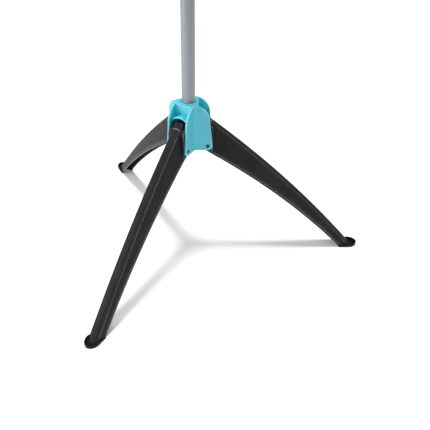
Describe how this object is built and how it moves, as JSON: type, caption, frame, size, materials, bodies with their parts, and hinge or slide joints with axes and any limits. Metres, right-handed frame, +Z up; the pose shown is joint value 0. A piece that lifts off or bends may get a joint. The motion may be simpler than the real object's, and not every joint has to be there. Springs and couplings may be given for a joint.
{
  "type": "rotary clothesline",
  "caption": "Free-standing rotary clothesline with a folding tripod stand, a telescopic mast, a turning head and arms that fold up.",
  "frame": {"origin": "on the ground at the mast's axis", "axes": "+Z up along the mast, +X along leg 1 and arm 1"},
  "size_m": [1.3802, 1.3802, 1.5261],
  "materials": {
    "turquoise_polypropylene": "satin moulded",
    "black_polypropylene": "satin moulded, fine texture",
    "toe_black": "smooth moulded",
    "black_pin_steel": "black coated",
    "grey_mast_coating": "satin powder coat",
    "clamp_black": "satin moulded",
    "zinc_steel": "zinc plated",
    "natural_acetal": "smooth"
  },
  "bodies": {
    "base": {"base_hub": "turquoise_polypropylene", "mast_lower": "grey_mast_coating", "mast_stop_plug": "clamp_black", "mast_screw": "zinc_steel", "guide_bush": "natural_acetal", "clamp_collar": "clamp_black", "clamp_bolt": "zinc_steel", "clamp_nut": "zinc_steel", "clamp_pivot": "zinc_steel", "leg_pin_1": "black_pin_steel", "pin_cap_1": "black_pin_steel", "leg_pin_2": "black_pin_steel", "pin_cap_2": "black_pin_steel", "leg_pin_3": "black_pin_steel", "pin_cap_3": "black_pin_steel"},
    "lever": {"clamp_lever": "clamp_black"},
    "inner_mast": {"mast_upper": "grey_mast_coating", "lower_guide": "natural_acetal", "head_spindle": "clamp_black", "spin_washer": "natural_acetal", "retaining_washer": "zinc_steel", "retaining_screw": "zinc_steel"},
    "head": {"arm_hub": "turquoise_polypropylene", "head_bush": "natural_acetal", "top_cap": "turquoise_polypropylene", "arm_pin_1": "zinc_steel", "arm_pin_2": "zinc_steel", "arm_pin_3": "zinc_steel", "arm_pin_4": "zinc_steel"},
    "folding_leg_1": {"leg_1": "black_polypropylene", "foot_1": "toe_black"},
    "folding_leg_2": {"leg_2": "black_polypropylene", "foot_2": "toe_black"},
    "folding_leg_3": {"leg_3": "black_polypropylene", "foot_3": "toe_black"},
    "folding_arm_1": {"arm_root_1": "black_polypropylene", "arm_tube_1": "grey_mast_coating", "arm_rivet_1": "zinc_steel", "arm_cap_1": "toe_black", "line_eyes_1": "natural_acetal"},
    "folding_arm_2": {"arm_root_2": "black_polypropylene", "arm_tube_2": "grey_mast_coating", "arm_rivet_2": "zinc_steel", "arm_cap_2": "toe_black", "line_eyes_2": "natural_acetal"},
    "folding_arm_3": {"arm_root_3": "black_polypropylene", "arm_tube_3": "grey_mast_coating", "arm_rivet_3": "zinc_steel", "arm_cap_3": "toe_black", "line_eyes_3": "natural_acetal"},
    "folding_arm_4": {"arm_root_4": "black_polypropylene", "arm_tube_4": "grey_mast_coating", "arm_rivet_4": "zinc_steel", "arm_cap_4": "toe_black", "line_eyes_4": "natural_acetal"}
  },
  "joints": [
    {"name": "leg_fold_1", "type": "hinge", "parent": "base", "child": "folding_leg_1", "pos_m": [0.05, 0, 0.346], "axis": [0, 1, 0], "range_deg": [0, 50]},
    {"name": "leg_fold_2", "type": "hinge", "parent": "base", "child": "folding_leg_2", "pos_m": [-0.025, 0.0433, 0.346], "axis": [-0.866, -0.5, 0], "range_deg": [0, 50]},
    {"name": "leg_fold_3", "type": "hinge", "parent": "base", "child": "folding_leg_3", "pos_m": [-0.025, -0.0433, 0.346], "axis": [0.866, -0.5, 0], "range_deg": [0, 50]},
    {"name": "lever_swing", "type": "hinge", "parent": "base", "child": "lever", "pos_m": [0.035, -0.0178, 0.891], "axis": [0, 0, 1], "range_deg": [0, 110]},
    {"name": "mast_slide", "type": "slide", "parent": "base", "child": "inner_mast", "axis": [0, 0, 1], "range_m": [0, 0.43]},
    {"name": "head_spin", "type": "hinge", "parent": "inner_mast", "child": "head", "pos_m": [0, 0, 1.3783], "axis": [0, 0, 1], "continuous": true},
    {"name": "arm_fold_1", "type": "hinge", "parent": "head", "child": "folding_arm_1", "pos_m": [0.043, 0, 1.3963], "axis": [0, -1, 0], "range_deg": [0, 78]},
    {"name": "arm_fold_2", "type": "hinge", "parent": "head", "child": "folding_arm_2", "pos_m": [0, 0.043, 1.3963], "axis": [1, 0, 0], "range_deg": [0, 78]},
    {"name": "arm_fold_3", "type": "hinge", "parent": "head", "child": "folding_arm_3", "pos_m": [-0.043, 0, 1.3963], "axis": [0, 1, 0], "range_deg": [0, 78]},
    {"name": "arm_fold_4", "type": "hinge", "parent": "head", "child": "folding_arm_4", "pos_m": [0, -0.043, 1.3963], "axis": [-1, 0, 0], "range_deg": [0, 78]}
  ]
}
